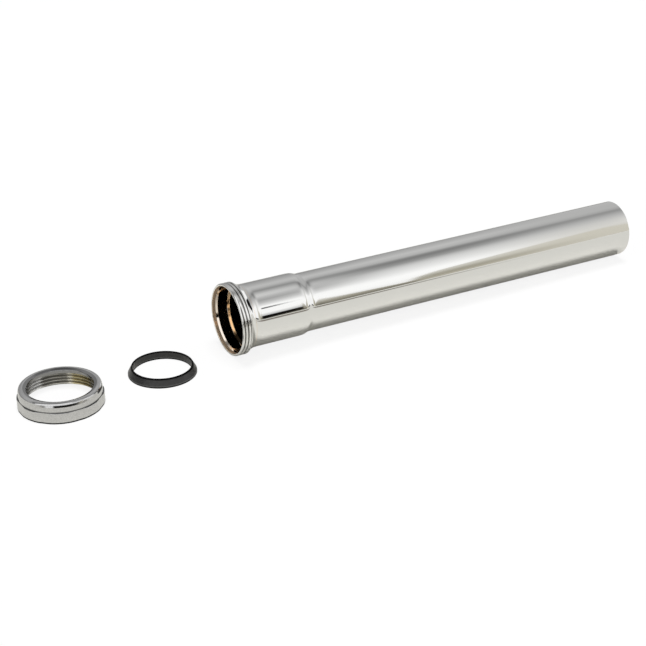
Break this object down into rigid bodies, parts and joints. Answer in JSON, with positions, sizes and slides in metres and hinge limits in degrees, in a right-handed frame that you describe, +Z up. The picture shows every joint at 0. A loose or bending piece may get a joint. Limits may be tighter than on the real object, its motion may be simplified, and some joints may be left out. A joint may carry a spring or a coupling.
{
  "type": "drain extension tube",
  "caption": "Chromed slip-joint drain extension tube: swaged socket with a threaded mouth, plain far end, its slip nut and bevelled rubber washer laid out loose before it.",
  "frame": {"origin": "on the floor, under the middle of the bounding box of the tube, the nut and the washer as they lie", "axes": "+Z up from the floor, +X along the floor from the tube's threaded mouth to its plain end, the tube's axis dipping 0.84 degrees towards the plain end"},
  "size_m": [0.4464, 0.0562, 0.0469],
  "materials": {
    "tube_chrome": "bright chrome plate on brass, bare brass inside the mouth",
    "nut_chrome": "bright chrome plate on a casting, duller inside",
    "washer_rubber": "black moulded rubber with a slight sheen"
  },
  "bodies": {
    "root": {"extension_tube": "tube_chrome", "slip_nut": "nut_chrome", "slip_washer": "washer_rubber"}
  },
  "joints": []
}
